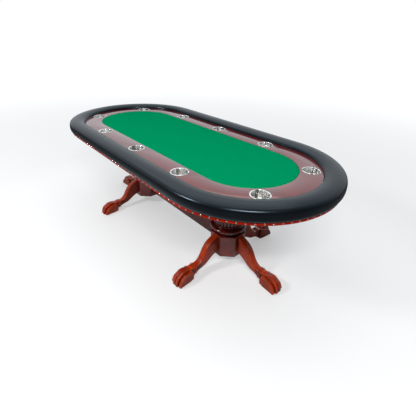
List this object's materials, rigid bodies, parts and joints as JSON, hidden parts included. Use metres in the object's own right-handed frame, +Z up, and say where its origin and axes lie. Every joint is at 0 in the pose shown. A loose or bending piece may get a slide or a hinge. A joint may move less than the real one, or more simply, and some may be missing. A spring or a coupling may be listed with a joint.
{
  "type": "poker table",
  "caption": "Racetrack-shaped poker table with padded armrest, cloth playing surface, drop-in cup holders and two turned pedestals on carved paw feet.",
  "frame": {"origin": "on the floor under the centre of the table top", "axes": "+Z up, +X along the table's length, +Y across it"},
  "size_m": [2.388, 1.118, 0.762],
  "materials": {
    "mahogany": "dark mahogany stain under gloss lacquer",
    "gloss_mahogany": "dark mahogany veneer under high-gloss lacquer",
    "bright_mahogany": "red mahogany stain under gloss lacquer",
    "plywood": "plywood, stained dark on the outside",
    "playing_cloth": "woven speed cloth",
    "foam": "closed-cell foam",
    "vinyl": "smooth black vinyl over foam",
    "stainless": "polished stainless steel",
    "zinc_steel": "zinc-plated",
    "nylon": "matt"
  },
  "bodies": {
    "frame": {"deck_board": "plywood", "riser_board": "plywood", "rail_core": "plywood", "deck_batten_front": "plywood", "deck_batten_back": "plywood", "edge_band": "bright_mahogany", "racetrack": "gloss_mahogany", "rail_pad": "vinyl", "left_block": "mahogany", "left_collar": "mahogany", "left_urn": "mahogany", "left_capital": "mahogany", "left_top_plate": "mahogany", "left_leg_front": "mahogany", "left_leg_back": "mahogany", "left_leg_outer": "mahogany", "left_glide_front": "nylon", "left_glide_back": "nylon", "left_glide_outer": "nylon", "left_tie_rod": "zinc_steel", "right_block": "mahogany", "right_collar": "mahogany", "right_urn": "mahogany", "right_capital": "mahogany", "right_top_plate": "mahogany", "right_leg_front": "mahogany", "right_leg_back": "mahogany", "right_leg_outer": "mahogany", "right_glide_front": "nylon", "right_glide_back": "nylon", "right_glide_outer": "nylon", "right_tie_rod": "zinc_steel", "stretcher": "mahogany", "plate_bolt_1": "zinc_steel", "plate_bolt_2": "zinc_steel", "plate_bolt_3": "zinc_steel", "plate_bolt_4": "zinc_steel", "plate_bolt_5": "zinc_steel", "plate_bolt_6": "zinc_steel", "plate_bolt_7": "zinc_steel", "plate_bolt_8": "zinc_steel", "rail_bolt_1": "zinc_steel", "rail_bolt_2": "zinc_steel", "rail_bolt_3": "zinc_steel", "rail_bolt_4": "zinc_steel", "rail_bolt_5": "zinc_steel", "rail_bolt_6": "zinc_steel"},
    "playfield": {"playfield_board": "plywood", "playfield_foam": "foam", "playfield_cloth": "playing_cloth"},
    "cup_1": {"cup_holder_1": "stainless"},
    "cup_2": {"cup_holder_2": "stainless"},
    "cup_3": {"cup_holder_3": "stainless"},
    "cup_4": {"cup_holder_4": "stainless"},
    "cup_5": {"cup_holder_5": "stainless"},
    "cup_6": {"cup_holder_6": "stainless"},
    "cup_7": {"cup_holder_7": "stainless"},
    "cup_8": {"cup_holder_8": "stainless"},
    "cup_9": {"cup_holder_9": "stainless"},
    "cup_10": {"cup_holder_10": "stainless"}
  },
  "joints": [
    {"name": "playfield_lift", "type": "slide", "parent": "frame", "child": "playfield", "axis": [0, 0, 1], "range_m": [0, 0.06]},
    {"name": "cup_lift_1", "type": "slide", "parent": "frame", "child": "cup_1", "axis": [0, 0, 1], "range_m": [0, 0.1]},
    {"name": "cup_lift_2", "type": "slide", "parent": "frame", "child": "cup_2", "axis": [0, 0, 1], "range_m": [0, 0.1]},
    {"name": "cup_lift_3", "type": "slide", "parent": "frame", "child": "cup_3", "axis": [0, 0, 1], "range_m": [0, 0.1]},
    {"name": "cup_lift_4", "type": "slide", "parent": "frame", "child": "cup_4", "axis": [0, 0, 1], "range_m": [0, 0.1]},
    {"name": "cup_lift_5", "type": "slide", "parent": "frame", "child": "cup_5", "axis": [0, 0, 1], "range_m": [0, 0.1]},
    {"name": "cup_lift_6", "type": "slide", "parent": "frame", "child": "cup_6", "axis": [0, 0, 1], "range_m": [0, 0.1]},
    {"name": "cup_lift_7", "type": "slide", "parent": "frame", "child": "cup_7", "axis": [0, 0, 1], "range_m": [0, 0.1]},
    {"name": "cup_lift_8", "type": "slide", "parent": "frame", "child": "cup_8", "axis": [0, 0, 1], "range_m": [0, 0.1]},
    {"name": "cup_lift_9", "type": "slide", "parent": "frame", "child": "cup_9", "axis": [0, 0, 1], "range_m": [0, 0.1]},
    {"name": "cup_lift_10", "type": "slide", "parent": "frame", "child": "cup_10", "axis": [0, 0, 1], "range_m": [0, 0.1]}
  ]
}
